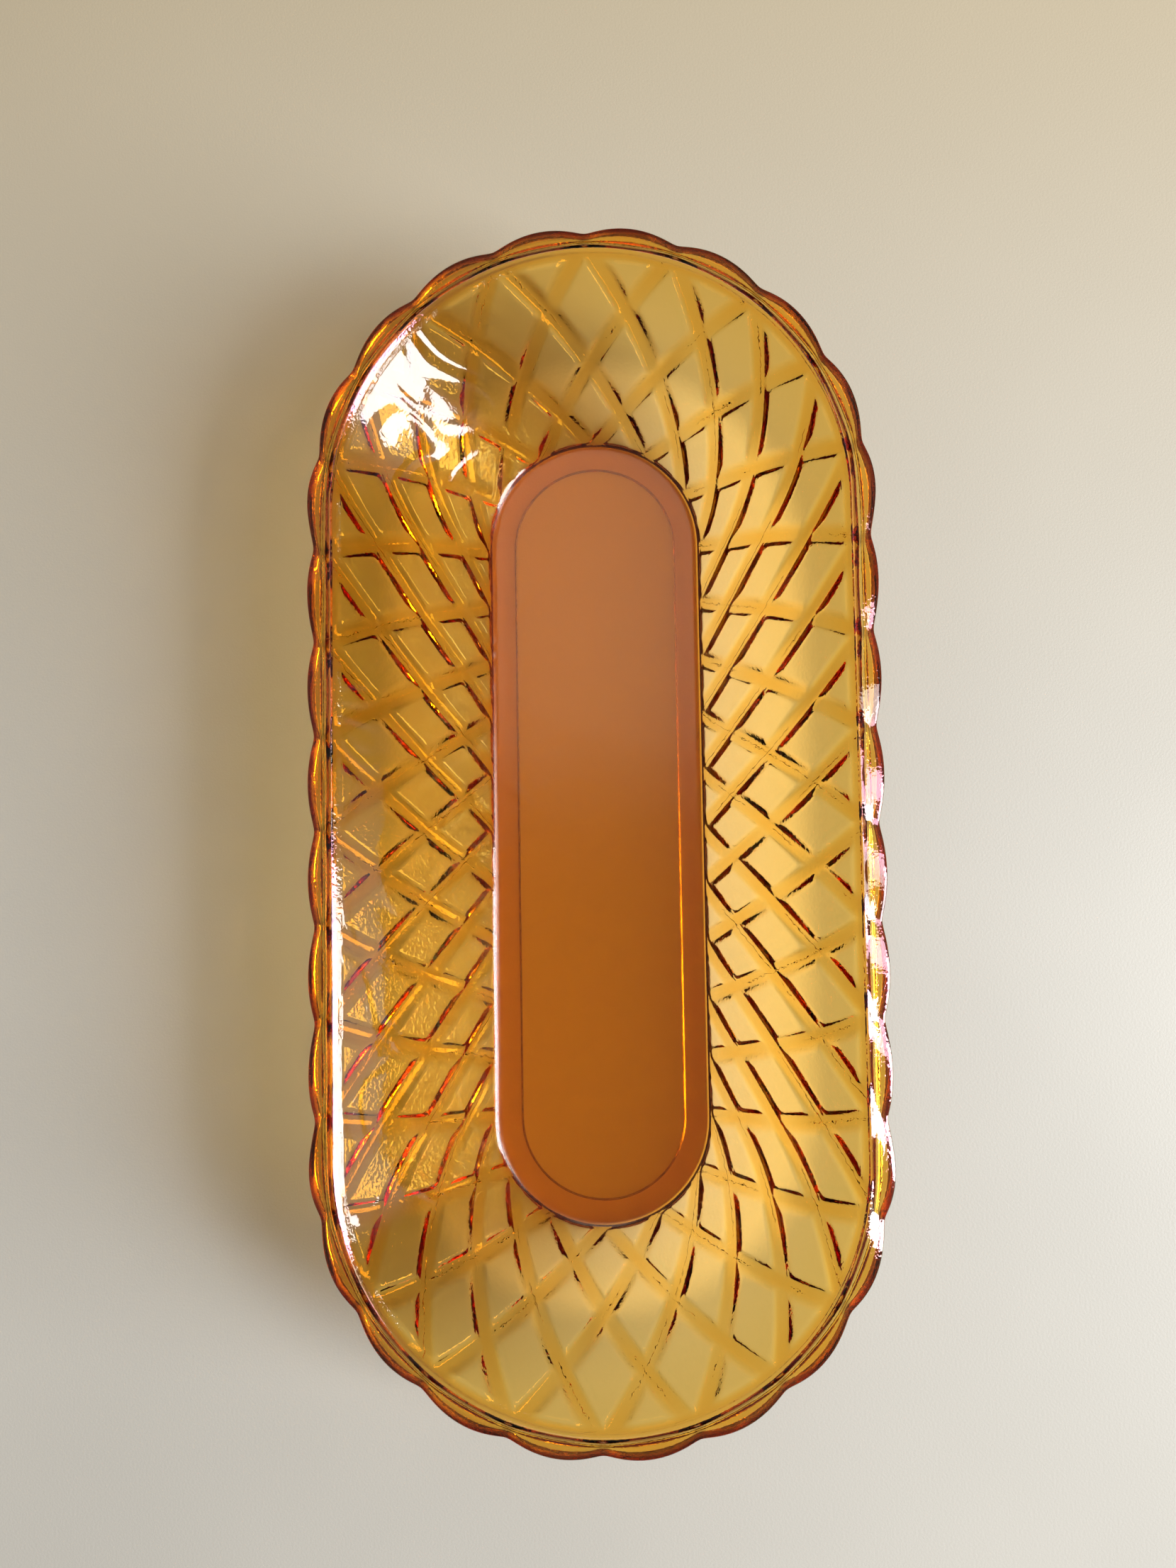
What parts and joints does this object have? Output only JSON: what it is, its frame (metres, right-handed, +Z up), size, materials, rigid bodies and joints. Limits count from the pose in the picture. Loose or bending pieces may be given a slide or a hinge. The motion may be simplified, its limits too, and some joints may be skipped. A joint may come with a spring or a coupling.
{
  "type": "pressed glass bowl",
  "caption": "Oblong pressed-glass bowl with a flared wall in a woven strap pattern, a lobed rim and a flat ringed base.",
  "frame": {"origin": "middle of the base, on the surface that the bowl stands on", "axes": "+X along the bowl's length, +Y across it, +Z up out of its open side"},
  "size_m": [0.3054, 0.1438, 0.045],
  "materials": {
    "amber_glass": "transparent amber glass under a thin iridescent film, glossy, satin on the inside floor"
  },
  "bodies": {
    "root": {"glass_bowl": "amber_glass"}
  },
  "joints": []
}
